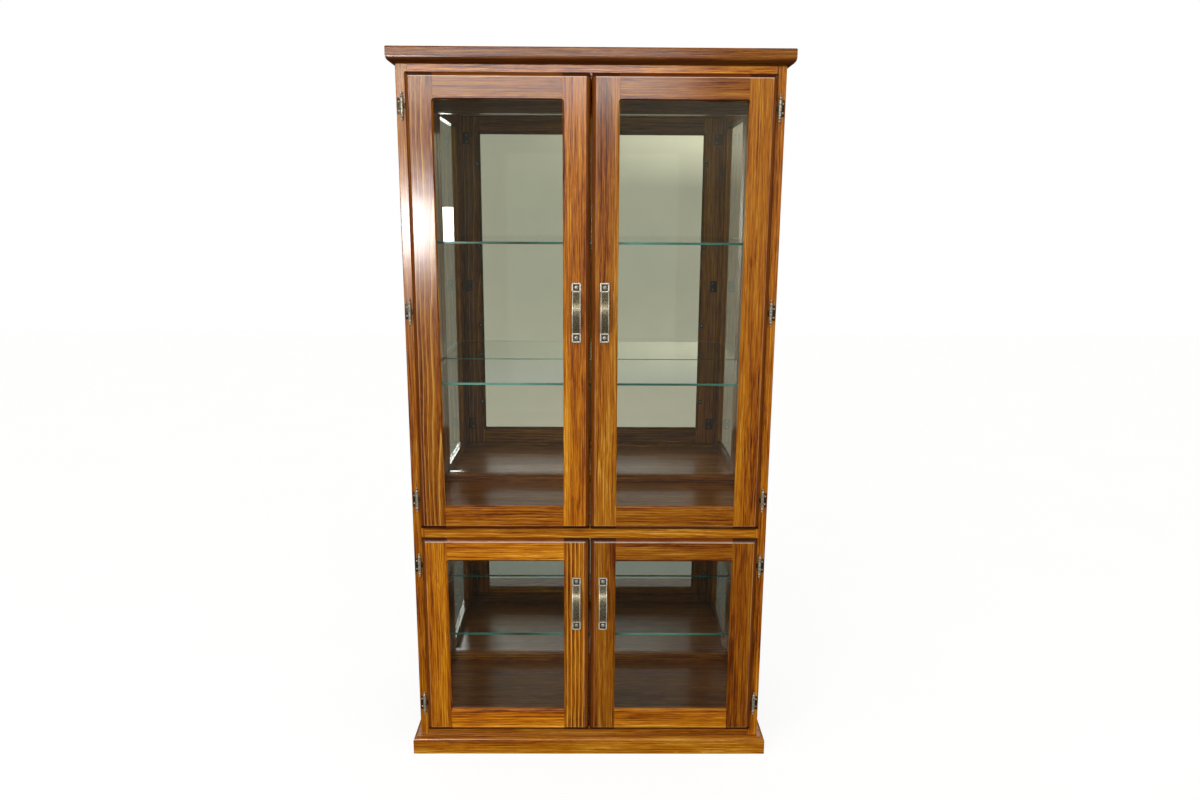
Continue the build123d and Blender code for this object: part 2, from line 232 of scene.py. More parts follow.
def pineColour(tree, along, tone, figure, streaks, knots, rings):
    squeezed = scaled(tree, along, (pine["alongStretch"], 1, 1))
    if knots:
        knot = knotDistance(tree, along)
        near = spread(tree, knot, 0.03, 0.16, 1.0, 0.0, interpolation_type="SMOOTHERSTEP")
        push = addNode(tree, "CombineXYZ", {"Y": sums(tree, "MULTIPLY", near, pine["knotPush"])})
        squeezed = vectors(tree, "ADD", squeezed, push.outputs[0])
    growth = ringWaves(tree, squeezed, rings)
    # latewood refuses the stain and stays as a thin light line with a dark one beside it
    grey = [
        (0.0, 0.46), (0.30, 0.42), (0.62, 0.50), (0.76, 0.62),
        (0.84, 1.0), (0.90, 0.46), (0.96, 0.33), (1.0, 0.42),
    ]
    line = rampOf(tree, growth, [(position, (v, v, v, 1)) for position, v in grey])
    # stain takes up unevenly: broad soft bands, then narrow streaks, then fine fibres
    bands = stretchedNoise(tree, along, pine["bandScale"], 2.0)
    narrow = stretchedNoise(tree, along, pine["streakScale"], 4.0, 0.7)
    fibre = stretchedNoise(tree, along, pine["fibreScale"], 3.0, 0.75)
    value = sums(tree, "ADD", 0.5, weighed(tree, line, figure))
    value = sums(tree, "ADD", value, weighed(tree, bands, pine["bandWeight"] * streaks))
    value = sums(tree, "ADD", value, weighed(tree, narrow, pine["streakWeight"] * streaks))
    value = sums(tree, "ADD", value, weighed(tree, fibre, pine["fibreWeight"]))
    stops = ((0.0, "deep"), (0.20, "dark"), (0.46, "middle"), (0.78, "light"), (1.0, "cream"))
    colour = rampOf(tree, value, [(position, pine[shade]) for position, shade in stops])
    # short dark resin streaks
    resin = stretchedNoise(tree, along, pine["resinScale"], 2.0)
    resin = spread(tree, resin, 0.64, 0.76, 0.0, pine["resinShade"])
    colour = mixColour(tree, resin, colour, pine["dark"])
    level = 1 + tone
    greenLevel = level * (1 + pine["redLean"] * min(tone, 0))  # dark boards lean to red
    colour = mixColour(tree, 1.0, colour, (level, greenLevel, level, 1), "MULTIPLY")
    if knots:
        heart = spread(tree, knot, 0.035, 0.07, 0.9, 0.0)
        colour = mixColour(tree, heart, colour, pine["deep"])
    return colour, growth, fibre


def doorSpan(tree, coords, door):
    # where a point stands on its door, and how far inside the door's sides and ends
    low, high = door
    place = addNode(tree, "SeparateXYZ", {"Vector": coords.outputs["Object"]})
    x, z = place.outputs["X"], place.outputs["Z"]
    beside = sums(tree, "MINIMUM", sums(tree, "SUBTRACT", x, low.x), sums(tree, "SUBTRACT", high.x, x))
    above = sums(tree, "MINIMUM", sums(tree, "SUBTRACT", z, low.z), sums(tree, "SUBTRACT", high.z, z))
    nearest = sums(tree, "MINIMUM", beside, above)
    return {"x": x, "z": z, "beside": beside, "above": above, "nearest": nearest}


def lipColour(tree, span, ahead, door, colour, fibre, endAxis):
    # the rounded lip round the door's field is painted darker, partly stain and partly painted shade on the
    # rounding;
    # over end grain the stain goes darker still
    rim = spread(tree, span["nearest"], pine["lipOutside"], pine["lipInside"], 0.0, pine["lipStainAndShade"])
    colour = mixColour(tree, sums(tree, "MULTIPLY", rim, ahead), colour, pine["dark"])
    if endAxis == "z":
        cut = spread(tree, span["above"], pine["lipOutside"], pine["lipInside"], 0.0, pine["endShade"])
        colour = mixColour(tree, sums(tree, "MULTIPLY", cut, ahead), colour, pine["deep"])
    # a painted highlight: a pale line along the field's arris, strongest along the top
    arris = sums(tree, "COMPARE", span["nearest"], pine["arris"], pine["arrisHalf"])
    fromTop = sums(tree, "SUBTRACT", door[1].z, span["z"])
    top = sums(tree, "COMPARE", fromTop, pine["arris"], pine["arrisHalf"])
    strength = sums(tree, "ADD", pine["arrisHighlight"], sums(tree, "MULTIPLY", top, pine["topHighlight"]))
    paleEdge = sums(tree, "MULTIPLY", sums(tree, "MULTIPLY", arris, fibre), strength)
    return mixColour(tree, sums(tree, "MULTIPLY", paleEdge, ahead), colour, pine["paintedHighlight"])


def lipNormal(tree, span, ahead, door, normal):
    # the lip is rounded over, so its normal leans out towards the door's edge
    middle = (door[0] + door[1]) / 2
    lean = {}
    for axis, centre, inside in (("x", middle.x, "beside"), ("z", middle.z, "above")):
        outward = sums(tree, "SIGN", sums(tree, "SUBTRACT", span[axis], centre))
        onLip = sums(tree, "LESS_THAN", span[inside], pine["lipWidth"])
        lean[axis.upper()] = sums(tree, "MULTIPLY", outward, onLip)
    lip = sums(tree, "MULTIPLY", ahead, sums(tree, "LESS_THAN", span["nearest"], pine["lipWidth"]))
    slope = spread(tree, span["nearest"], pine["lipWidth"], 0.0, pine["leanAtField"], pine["leanAtEdge"])
    amount = sums(tree, "MULTIPLY", slope, lip)
    lean = addNode(tree, "CombineXYZ", lean).outputs[0]
    lean = addNode(tree, "VectorMath", {0: lean, "Scale": amount}, operation="SCALE").outputs[0]
    return vectors(tree, "NORMALIZE", vectors(tree, "ADD", normal, lean))


def lacquered(tree, shader, coords, colour, growth, fibre, endAxis, door=None):
    facing = addNode(tree, "SeparateXYZ", {"Vector": coords.outputs["Normal"]})
    eased = addNode(tree, "Bevel", {"Radius": pine["edgeEase"]}, samples=6).outputs["Normal"]
    if door:
        span = doorSpan(tree, coords, door)
        ahead = sums(tree, "LESS_THAN", facing.outputs["Y"], 0.3)
        colour = lipColour(tree, span, ahead, door, colour, fibre, endAxis)
        eased = lipNormal(tree, span, ahead, door, eased)
    # painted shade on undersides; end grain takes the stain darker
    paintedUnderShade = spread(tree, facing.outputs["Z"], -0.05, -0.50, 0.0, pine["undersidePaintedShade"])
    colour = mixColour(tree, paintedUnderShade, colour, pine["deep"])
    endwise = sums(tree, "ABSOLUTE", facing.outputs[endAxis.upper()])
    endGrain = spread(tree, endwise, 0.25, 0.8, 0.0, pine["endGrainShade"])
    colour = mixColour(tree, endGrain, colour, pine["deep"])
    pores = sums(tree, "ADD", sums(tree, "MULTIPLY", growth, 0.4), fibre)
    flow = noise(tree, scaled(tree, coords.outputs["Object"], pine["filmScale"]), 1.0, 2.0)
    film = sums(tree, "ADD", flow, sums(tree, "MULTIPLY", fibre, 0.05))
    feed(tree, shader, {
        "Base Color": colour,
        "Roughness": spread(tree, fibre, 0.0, 1.0, 0.42, 0.58),
        "Specular IOR Level": 0.08,
        "Normal": raisedBy(tree, pores, pine["poreStrength"], pine["poreDepth"], eased),
        "Coat Weight": pine["lacquer"],
        "Coat Roughness": pine["lacquerRoughness"],
        "Coat Normal": raisedBy(tree, film, pine["filmStrength"], pine["filmDepth"], eased),
    })


def doorBox(node):
    name = "_".join(node.split("_")[:3])
    corners = [*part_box(name + "_hinge_stile"), *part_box(name + "_meeting_stile")]
    return [Vector([pick(corner[axis] for corner in corners) for axis in range(3)]) for pick in (min, max)]


def pineBoard(
    node, grain, tone=0.0, figure=0.5, streaks=1.0, pith=(0.06, 0.12), tilt=(0.4, 0.3),
    knots=False, rings=1.0, shift=0.0,
):
    material, tree, shader = startMaterial("pine_" + node)
    coords = addNode(tree, "TexCoord")
    low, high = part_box(node)
    along = boardCoordinates(tree, coords.outputs["Object"], grain, (low + high) / 2, pith, tilt, shift)
    colour, growth, fibre = pineColour(tree, along, tone, figure, streaks, knots, rings)
    door = doorBox(node) if node.startswith("door_") else None
    lacquered(tree, shader, coords, colour, growth, fibre, grain, door)
    return material


def paint(node, material):
    for slot in nodes[node].material_slots:
        slot.material = material


# each board's grain, how dark it is (its stain, and for the back rail painted shade too), how strong its
# rings and streaks show, where its pith lies, how it slopes and what length of the tree it came from
boards = {
    "top_board": dict(grain="x", tone=-0.42, figure=0.6, pith=(0.05, 0.14), shift=3.1),
    "frame_stile_left": dict(grain="z", tone=-0.12, figure=0.45, pith=(0.10, 0.12), tilt=(0.3, 0.2)),
    "frame_stile_right": dict(grain="z", tone=0.08, pith=(0.10, -0.12), tilt=(0.4, 0.2)),
    "frame_rail_top": dict(grain="x", tone=0.32, figure=0.45, pith=(0.05, 0.05), tilt=(1.0, 0.3), shift=1.4),
    "frame_rail_middle": dict(
        grain="x", tone=-0.06, figure=0.55, pith=(0.07, 0.04), tilt=(0.8, 0.3), shift=0.5),
    "frame_rail_bottom": dict(grain="x", tone=-0.25, figure=0.45, shift=2.2),
    # the back rail inside the case is set far darker: painted shade as well as stain
    "back_rail": dict(grain="x", tone=-0.65, shift=2.9),
    "mirror_strip_lower": dict(grain="x", tone=-0.25, figure=0.7, shift=3.4),
    "mirror_strip_upper": dict(grain="x", tone=-0.35, shift=4.1),
    "plinth_front": dict(grain="x", tone=-0.08, pith=(0.06, 0.05), tilt=(0.7, 0.3), knots=True, shift=0.37),
    "plinth_left": dict(grain="y", tone=-0.10, shift=5.3),
    "plinth_right": dict(grain="y", tone=-0.10, shift=6.4),
    "door_upper_left_hinge_stile": dict(
        grain="z", tone=-0.30, figure=1.7, streaks=0.6, pith=(0.045, 0.030), tilt=(0.8, 0.3),
        rings=1.4, shift=0.2),
    "door_upper_left_meeting_stile": dict(grain="z", tone=0.18, figure=0.35, pith=(0.07, 0.13), shift=1.3),
    "door_upper_left_top_rail": dict(grain="x", tone=-0.25, figure=0.7, pith=(0.05, 0.16), shift=0.2),
    "door_upper_left_bottom_rail": dict(
        grain="x", tone=-0.12, figure=0.7, pith=(0.08, 0.06), tilt=(1.1, 0.3), shift=2.1),
    "door_upper_right_hinge_stile": dict(
        grain="z", tone=-0.04, figure=0.3, streaks=0.8, pith=(0.09, -0.10), tilt=(0.5, 0.3), shift=3.3),
    "door_upper_right_meeting_stile": dict(
        grain="z", tone=-0.18, figure=0.55, streaks=1.2, pith=(0.05, 0.10), tilt=(0.6, 0.3), shift=4.2),
    "door_upper_right_top_rail": dict(grain="x", tone=-0.25, shift=5.1),
    "door_upper_right_bottom_rail": dict(
        grain="x", tone=-0.32, figure=0.8, pith=(0.07, 0.05), tilt=(0.9, 0.3), shift=6.4),
    "door_lower_left_hinge_stile": dict(
        grain="z", tone=0.12, figure=0.4, streaks=0.8, pith=(0.06, 0.10), tilt=(0.6, 0.3), shift=7.7),
    "door_lower_left_meeting_stile": dict(
        grain="z", tone=-0.06, figure=2.2, streaks=0.6, pith=(0.04, -0.13), tilt=(0.2, 0.2),
        rings=1.9, shift=8.8),
    "door_lower_left_top_rail": dict(grain="x", tone=0.24, figure=0.4, pith=(0.06, 0.10), shift=9.2),
    "door_lower_left_bottom_rail": dict(grain="x", tone=0.38, figure=0.4, pith=(0.07, 0.08), shift=10.6),
    "door_lower_right_hinge_stile": dict(grain="z", tone=-0.28, figure=0.4, pith=(0.08, 0.10), shift=11.3),
    "door_lower_right_meeting_stile": dict(
        grain="z", tone=-0.38, pith=(0.05, 0.14), tilt=(0.3, 0.2), rings=0.8, shift=12.4),
    "door_lower_right_top_rail": dict(
        grain="x", tone=-0.32, figure=0.7, pith=(0.05, 0.08), tilt=(0.6, 0.3), shift=13.3),
    "door_lower_right_bottom_rail": dict(grain="x", tone=0.12, figure=0.4, pith=(0.06, 0.08), shift=14.2),
    "bottom_panel": dict(
        grain="x", tone=-0.40, figure=0.4, streaks=0.5, pith=(0.10, 0.05), tilt=(0.3, 0.9), shift=1.1),
    "divider_panel": dict(
        grain="x", tone=-0.25, figure=0.4, streaks=0.6, pith=(0.10, 0.06), tilt=(0.3, 1.1), shift=2.8),
}
for boardNode, look in boards.items():
    paint(boardNode, pineBoard(boardNode, **look))
print("pine boards done")

# side frames: grain up the stiles and along the rails

sideFrame = {
    "rails": [(0.0, 0.0773), (0.636, 0.6937), (1.7777, 1.8443)],  # from and to, up from the floor
    "front": -0.14075,  # the rails run from here back to the rear
    "rear": 0.17125,
    "stilePith": (0.34, 0.10),
    "stileTilt": (0.4, 0.5),
    "railPith": (0.10, 0.9),
    "railTilt": (0.5, 0.4),
    "railShift": 3.0,
    "look": dict(tone=-0.20, figure=0.4, streaks=0.9, knots=False, rings=0.9),
}


def within(tree, value, low, high):
    return sums(tree, "COMPARE", value, (low + high) / 2, (high - low) / 2)


def sideFramePine(node):
    material, tree, shader = startMaterial("pine_" + node)
    coords = addNode(tree, "TexCoord")
    low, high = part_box(node)
    point, centre = coords.outputs["Object"], (low + high) / 2
    upright = boardCoordinates(tree, point, "z", centre, sideFrame["stilePith"], sideFrame["stileTilt"], 0.0)
    railPith, railTilt = sideFrame["railPith"], sideFrame["railTilt"]
    level = boardCoordinates(tree, point, "y", centre, railPith, railTilt, sideFrame["railShift"])
    place = addNode(tree, "SeparateXYZ", {"Vector": point})
    inRail = 0.0
    for base, top in sideFrame["rails"]:
        inRail = sums(tree, "MAXIMUM", inRail, within(tree, place.outputs["Z"], base, top))
    between = within(tree, place.outputs["Y"], sideFrame["front"], sideFrame["rear"])
    inRail = sums(tree, "MULTIPLY", inRail, between)
    along = addNode(tree, "Mix", {0: inRail, 4: upright, 5: level}, data_type="VECTOR").outputs[1]
    colour, growth, fibre = pineColour(tree, along, **sideFrame["look"])
    lacquered(tree, shader, coords, colour, growth, fibre, "z")
    return material


for side in ("left", "right"):
    paint("side_frame_" + side, sideFramePine("side_frame_" + side))
print("side frames done")


# plain plywood back, seen only from behind

veneer = [
    (0.0, (0.56, 0.37, 0.20, 1)),
    (0.7, (0.50, 0.31, 0.155, 1)),
    (0.94, (0.36, 0.20, 0.09, 1)),
    (1.0, (0.52, 0.33, 0.17, 1)),
]


def plywood(node):
    material, tree, shader = startMaterial("plywood_back")
    coords = addNode(tree, "TexCoord")
    low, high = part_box(node)
    middle = (low + high) / 2
    along = boardCoordinates(tree, coords.outputs["Object"], "z", middle, (0.35, 0.1), (2.2, 0.6), 0.0)
    squeezed = scaled(tree, along, (0.08, 1, 1))
    cut = {"Vector": squeezed, "Scale": 14.0, "Distortion": 5.0, "Detail": 3.0, "Detail Scale": 0.3}
    pores = stretchedNoise(tree, along, (12, 500, 500), 2.0, 0.5)
    shade = spread(tree, pores, 0.0, 1.0, 0.78, 1.18)
    feed(tree, shader, {
        "Base Color": mixColour(tree, 1.0, rampOf(tree, sawRings(tree, cut), veneer), shade, "MULTIPLY"),
        "Roughness": 0.62,
        "Normal": raisedBy(tree, pores, 0.3, 0.0004),
    })
    return material


paint("back_panel", plywood("back_panel"))
print("plywood back done")

# glass and mirror

glass = {
    "pane": (0.975, 0.99, 0.98, 1),
    "shelf": (0.93, 0.985, 0.965, 1),
    # shelf edge greens: green glass seen end-on, the brighter ones partly painted light carried along the
    # glass
    "edgeBright": (0.30, 0.78, 0.64, 1),
    "edgeMid": (0.06, 0.34, 0.25, 1),
    "edgeDeep": (0.012, 0.10, 0.065, 1),
    "shadow": (0.72, 0.74, 0.72, 1),
    "mirrorDull": (0.80, 0.83, 0.79, 1),
    "mirrorClear": (0.86, 0.885, 0.85, 1),
}


def letLightThrough(tree, shader):
    # light and shadow pass the glass, so the case is lit inside
    path = addNode(tree, "LightPath")
    clear = addNode(tree, "BsdfTransparent", {"Color": glass["shadow"]})
    passing = sums(tree, "MAXIMUM", path.outputs["Is Shadow Ray"], path.outputs["Is Diffuse Ray"])
    seen = mixShaders(tree, passing, shader.outputs[0], clear.outputs[0])
    tree.links.new(seen, tree.nodes["Material Output"].inputs["Surface"])


def clearGlass():
    material, tree, shader = startMaterial("clear_glass")
    coords = addNode(tree, "TexCoord")
    haze = noise(tree, coords.outputs["Object"], 7.0, 4.0, 0.6)
    feed(tree, shader, {
        "Base Color": mixColour(tree, spread(tree, haze, 0.0, 1.0, 0.0, 0.5), glass["pane"], glass["shelf"]),
        "Roughness": spread(tree, haze, 0.55, 0.8, 0.0, 0.012),
        "IOR": 1.5,
        "Transmission Weight": 1.0,
    })
    letLightThrough(tree, shader)
    return material


def shelfGlass():
    material, tree, shader = startMaterial("shelf_glass")
    coords = addNode(tree, "TexCoord")
    up = addNode(tree, "SeparateXYZ", {"Vector": coords.outputs["Normal"]}).outputs["Z"]
    edge = sums(tree, "LESS_THAN", sums(tree, "ABSOLUTE", up), 0.9)
    # the edges are green glass seen end-on; their brighter and darker patches are partly painted light
    wander = stretchedNoise(tree, coords.outputs["Object"], (3.2, 6, 9), 2.0, 0.5)
    greens = ((0.36, "edgeDeep"), (0.50, "edgeMid"), (0.62, "edgeBright"))
    green = rampOf(tree, wander, [(position, glass[shade]) for position, shade in greens])
    feed(tree, shader, {
        "Base Color": mixColour(tree, edge, glass["shelf"], green),
        "Roughness": sums(tree, "MULTIPLY", edge, 0.16),
        "Transmission Weight": sums(tree, "SUBTRACT", 1.0, sums(tree, "MULTIPLY", edge, 0.75)),
        "IOR": 1.5,
    })
    letLightThrough(tree, shader)
    return material


def mirrorGlass():
    material, tree, shader = startMaterial("mirror_glass")
    coords = addNode(tree, "TexCoord")
    wipe = noise(tree, coords.outputs["Object"], 5.0, 5.0, 0.6)
    feed(tree, shader, {
        "Base Color": rampOf(tree, wipe, [(0.3, glass["mirrorDull"]), (0.7, glass["mirrorClear"])]),
        "Metallic": 1.0,
        "Roughness": spread(tree, wipe, 0.5, 0.8, 0.0, 0.02),
    })
    return material


paneMaterial, shelfMaterial, mirrorMaterial = clearGlass(), shelfGlass(), mirrorGlass()
for nodeName in nodes:
    if nodeName.startswith("glass_shelf"):
        paint(nodeName, shelfMaterial)
    elif nodeName.startswith("mirror_") and "strip" not in nodeName:
        paint(nodeName, mirrorMaterial)
    elif "glass" in nodeName:
        paint(nodeName, paneMaterial)
print("glass and mirrors done")

# metals

brass = {
    "recess": (0.022, 0.019, 0.012, 1),
    "agedDark": (0.16, 0.142, 0.090, 1),
    "agedMid": (0.36, 0.32, 0.21, 1),
    "paleEdge": (0.74, 0.69, 0.58, 1),
    "screw": (0.46, 0.43, 0.35, 1),
    "hingeDark": (0.030, 0.020, 0.012, 1),
    "hingeMid": (0.10, 0.075, 0.045, 1),
    "hingeRubbedAndSheen": (0.62, 0.55, 0.42, 1),
    "nickelDark": (0.42, 0.41, 0.38, 1),
    "nickel": (0.68, 0.67, 0.64, 1),
    "brushing": (2400, 2400, 360),
}


def agedMetal(name, dark, light, low, high, roughness, sheen=1.0):
    material, tree, shader = startMaterial(name)
    coords = addNode(tree, "TexCoord")
    patina = noise(tree, coords.outputs["Object"], 260.0, 3.0)
    brushed = stretchedNoise(tree, coords.outputs["Object"], brass["brushing"], 3.0, 0.5)
    age = sums(tree, "ADD", sums(tree, "MULTIPLY", patina, 0.6), sums(tree, "MULTIPLY", brushed, 0.4))
    feed(tree, shader, {
        "Base Color": rampOf(tree, age, [(low, brass[dark]), (high, brass[light])]),
        "Metallic": sheen,
        "Roughness": spread(tree, patina, 0.3, 0.7, roughness - 0.06, roughness + 0.08),
        "Normal": raisedBy(tree, brushed, 0.25, 0.0001),
    })
    return material


agedBrass = agedMetal("aged_brass", "agedDark", "agedMid", 0.30, 0.70, 0.28, 0.65)
# pale rims of pads and straps: rubbed brass, and painted sheen where they catch the light
rubbedBrassAndSheen = agedMetal("rubbed_brass_and_sheen", "agedMid", "paleEdge", 0.22, 0.48, 0.26, 0.30)
screwBrass = agedMetal("screw_brass", "agedDark", "screw", 0.25, 0.50, 0.22, 0.40)
recessBrass = agedMetal("recess_brass", "recess", "agedDark", 0.35, 0.80, 0.38, 0.60)
# the hinge leaves are painted near black: dark old brass, and painted shade for the gap behind the door's
# lip
hingeBrown = agedMetal("hinge_brown", "hingeDark", "hingeMid", 0.35, 0.75, 0.36, 0.6)
# barrels, finials and screws are painted pale: rubbed brass, with a painted highlight along the barrels
hingeBright = agedMetal("hinge_bright", "hingeDark", "hingeRubbedAndSheen", 0.25, 0.55, 0.26, 0.5)
clipBronze = agedMetal("clip_bronze", "hingeDark", "hingeMid", 0.30, 0.70, 0.42, 0.3)
nickel = agedMetal("shelf_pin_nickel", "nickelDark", "nickel", 0.2, 0.6, 0.25)
paint("shelf_pins", nickel)
print("metals done")


# mesh helpers

def finishPiece(name, bm, materials, body, replaced=()):
    bmesh.ops.recalc_face_normals(bm, faces=bm.faces)
    mesh = bpy.data.meshes.new(name)
    bm.to_mesh(mesh)
    bm.free()
    for face in mesh.polygons:
        face.use_smooth = True
    mesh.set_sharp_from_angle(angle=math.radians(38))
    piece = bpy.data.objects.new(name, mesh)
    bpy.context.scene.collection.objects.link(piece)
    for material in materials:
        mesh.materials.append(material)
    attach(piece, body)
    if replaced:
        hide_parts(*replaced)


def ease(bm, edges, offset, segments):
    return bmesh.ops.bevel(
        bm, geom=list(edges), offset=offset, segments=segments, profile=0.5, affect="EDGES", material=-1)


def addBlock(bm, low, high):
    made = bmesh.ops.create_cube(bm, size=1.0)["verts"]
    bmesh.ops.scale(bm, vec=Vector(high) - Vector(low), verts=made)
    bmesh.ops.translate(bm, vec=(Vector(high) + Vector(low)) / 2, verts=made)
    return made


def addBox(bm, low, high, offset, segments=3):
    edges = {edge for vert in addBlock(bm, low, high) for edge in vert.link_edges}
    ease(bm, edges, offset, segments)


def addTurned(bm, profile, spot, axis="Z", steps=28, index=0):
    # a profile of (radius, height) turned once round an axis through spot
    made = [bm.verts.new((radius, 0, height)) for radius, height in profile]
    edges = [bm.edges.new(pair) for pair in zip(made, made[1:])]
    spun = bmesh.ops.spin(
        bm, geom=made + edges, cent=(0, 0, 0), axis=(0, 0, 1), angle=math.tau, steps=steps, use_merge=True)
    every = set(made) | {item for item in spun["geom_last"] if isinstance(item, bmesh.types.BMVert)}
    walk = list(every)
    while walk:
        for edge in walk.pop().link_edges:
            for vert in edge.verts:
                if vert not in every:
                    every.add(vert)
                    walk.append(vert)
    for face in {face for vert in every for face in vert.link_faces}:
        face.material_index = index
    every = list(every)
    if axis != "Z":
        tip = Matrix.Rotation(math.radians({"-Y": 90, "Y": -90}[axis]), 3, "X")
        bmesh.ops.rotate(bm, verts=every, cent=(0, 0, 0), matrix=tip)
    bmesh.ops.translate(bm, vec=spot, verts=every)
    bmesh.ops.remove_doubles(bm, verts=every, dist=1e-6)


# bow handles

handle = {
    "centres": 0.128,
    "rise": 0.028,
    "padWidth": 0.0235,
    "padLength": 0.024,
    "padThickness": 0.004,
    "padCorner": 0.0022,
    "padRim": 0.0042,
    "padRimEase": 0.00035,
    "padRecess": 0.0017,
    "recessSlope": 0.0004,
    "strapWidth": 0.0215,
    "strapThickness": 0.0034,
    "strapRim": 0.0021,
    "strapDish": 0.0006,
    "dishSlope": 0.0007,
    "strapEase": 0.0005,
    "screwRadius": 0.0056,
    "screwRise": 0.0024,
    "slack": 0.0001,  # how near a face or edge counts as lying on a plane
}


def screwDome():
    head, rise = handle["screwRadius"], handle["screwRise"]
    shape = [
        (0.0, 0.0), (1.0, 0.0), (1.0, 0.18), (0.93, 0.45), (0.78, 0.72), (0.55, 0.9), (0.30, 0.98),
        (0.26, 0.72), (0.0, 0.68),
    ]
    return [(radius * head, height * rise) for radius, height in shape]


def bowHandle():
    bm = bmesh.new()
    reach = (handle["centres"] - handle["padLength"]) / 2
    sagitta = handle["rise"] - handle["padThickness"]
    radius = (reach ** 2 + sagitta ** 2) / (2 * sagitta)
    centre = Vector((0, radius - handle["rise"], 0))
    swing = math.asin(reach / radius)
    half, rim, dish = handle["strapWidth"] / 2, handle["strapRim"], handle["strapDish"]
    floor = half - rim - handle["dishSlope"]
    section = [
        (-half, 0.0), (-half + rim, 0.0), (-floor, dish), (floor, dish),
        (half - rim, 0.0), (half, 0.0), (half, handle["strapThickness"]), (-half, handle["strapThickness"]),
    ]
    ring = [bm.verts.new((x, depth - handle["rise"], 0)) for x, depth in section]
    start = bm.faces.new(ring)
    bmesh.ops.rotate(bm, verts=ring, cent=centre, matrix=Matrix.Rotation(-swing, 3, "X"))
    whole = [start] + list(start.edges) + ring
    bmesh.ops.spin(bm, geom=whole, cent=centre, axis=(1, 0, 0), angle=2 * swing, steps=44)
    bmesh.ops.recalc_face_normals(bm, faces=bm.faces)
    sharp = [e for e in bm.edges if len(e.link_faces) == 2 and e.calc_face_angle(0) > math.radians(60)]
    ease(bm, sharp, handle["strapEase"], 3)
    for face in bm.faces:
        middle = face.calc_center_median()
        outside = (middle - centre).length > radius - 2 * dish
        face.material_index = 1 if outside and abs(middle.x) > half - rim - handle["slack"] else 0
    for end in (-1, 1):
        spot = Vector((0, 0, end * handle["centres"] / 2))
        addPad(bm, spot)
        seat = spot + Vector((0, handle["padRecess"] - handle["padThickness"], 0))
        addTurned(bm, screwDome(), seat, "-Y", 28, 2)
    return bm


def addPad(bm, spot):
    # a square pad with rounded corners and a sunk middle: the rim is painted pale, partly rubbed brass
    # and partly painted sheen; the recess dark
    thickness = handle["padThickness"]
    corner = Vector((handle["padWidth"] / 2, 0, handle["padLength"] / 2))
    before = set(bm.faces)
    made = addBlock(bm, spot - corner - Vector((0, thickness, 0)), spot + corner)
    sides = {e for v in made for e in v.link_edges if abs(e.verts[0].co.y - e.verts[1].co.y) > 0.001}
    rounded = ease(bm, sides, handle["padCorner"], 5)
    front = min({f for v in rounded["verts"] for f in v.link_faces}, key=lambda f: f.calc_center_median().y)
    for inset in (handle["padRim"] - handle["recessSlope"], handle["recessSlope"]):
        bmesh.ops.inset_region(bm, faces=[front], thickness=inset, depth=0.0)
    bmesh.ops.translate(bm, vec=(0, handle["padRecess"], 0), verts=list(front.verts))
    whole = [face for face in bm.faces if face not in before]
    for face in whole:
        face.material_index = 1 if face.calc_center_median().y < 3 * handle["slack"] - thickness else 0
    for face in {face for vert in front.verts for face in vert.link_faces}:
        face.material_index = 3  # the recess and its wall
    rimEdges = {
        e for f in whole for e in f.edges
        if e.is_manifold and e.calc_face_angle(0) > math.radians(50)
        and all(v.co.y < spot.y - thickness + handle["slack"] for v in e.verts)
    }
    ease(bm, rimEdges, handle["padRimEase"], 2)


bowMetals = [agedBrass, rubbedBrassAndSheen, screwBrass, recessBrass]
doors = [(story, side) for story in ("upper", "lower") for side in ("left", "right")]
for story, side in doors:
    node = f"handle_{story}_{side}"
    low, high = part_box(node)
    bm = bowHandle()
    bmesh.ops.translate(bm, vec=((low.x + high.x) / 2, high.y, (low.z + high.z) / 2), verts=bm.verts)
    finishPiece(f"bow_{story}_{side}", bm, bowMetals, f"door_{story}_{side}", [node])
print("handles done")

# finial hinges

hinge = {
    "inset": 0.080,
    "height": 0.039,
    "barrel": 0.0040,
    "barrelEase": 0.0004,
    "knuckleShare": 0.31,
    "gap": 0.0003,
    "leaf": 0.0014,
    "frameStart": 0.0012,  # where the frame leaf leaves its barrel
    "frameReach": 0.0115,
    "doorStart": 0.0014,  # where the door leaf leaves its barrel
    "doorReach": 0.0240,
    "wrap": 0.0012,
    "wrapGap": 0.0003,
    "overlap": 0.0002,
    "flapRoot": 0.4,  # where the flap starts in the web, as a share of the web
    "leafEase": 0.0005,
    "wrapEase": 0.0003,
    "doorEase": 0.0004,
    "lipWidth": 0.0095,
    "screw": 0.0026,
    "screwHeight": 0.0008,
    "screwSink": 0.0001,
    "frameScrew": (0.0077, 0.0112),  # from the pin, and up or down from the middle
    "doorScrew": (0.0150, 0.0110),  # in from the leaf's web, and up or down from the middle
}


def barrelProfile(base, top):
    radius, soft = hinge["barrel"], hinge["barrelEase"]
    lower = [(0.0, base), (radius - soft, base), (radius, base + soft)]
    return lower + [(radius, top - soft), (radius - soft, top), (0.0, top)]


def screwProfile():
    shape = [(0.0, 0.0), (1.0, 0.0), (0.85, 0.625), (0.4, 1.0), (0.3, 0.5), (0.0, 0.5)]
    return [(radius * hinge["screw"], height * hinge["screwHeight"]) for radius, height in shape]


